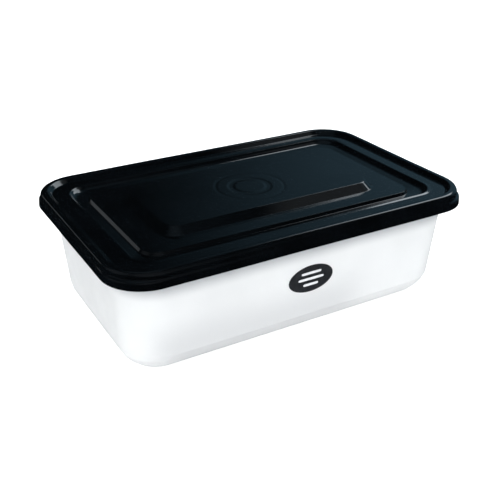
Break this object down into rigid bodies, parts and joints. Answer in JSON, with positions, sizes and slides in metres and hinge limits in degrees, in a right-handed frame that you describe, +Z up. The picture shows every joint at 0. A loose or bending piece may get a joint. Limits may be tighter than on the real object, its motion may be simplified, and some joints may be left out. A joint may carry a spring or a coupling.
{
  "type": "takeaway meal container",
  "caption": "Rectangular takeaway food container: a frosted, see-through tub with rounded corners and a stepped, glossy push-fit lid, shut.",
  "frame": {"origin": "middle of the base, on the surface that the container stands on", "axes": "+X along the container's length, +Y across it, +Z up out of the lid"},
  "size_m": [0.196, 0.126, 0.0618],
  "materials": {
    "tub_plastic": "frosted, see-through, faintly uneven",
    "lid_plastic": "glossy moulded black plastic with a fine moulding grain"
  },
  "bodies": {
    "root": {"tub": "tub_plastic", "lid": "lid_plastic"}
  },
  "joints": []
}
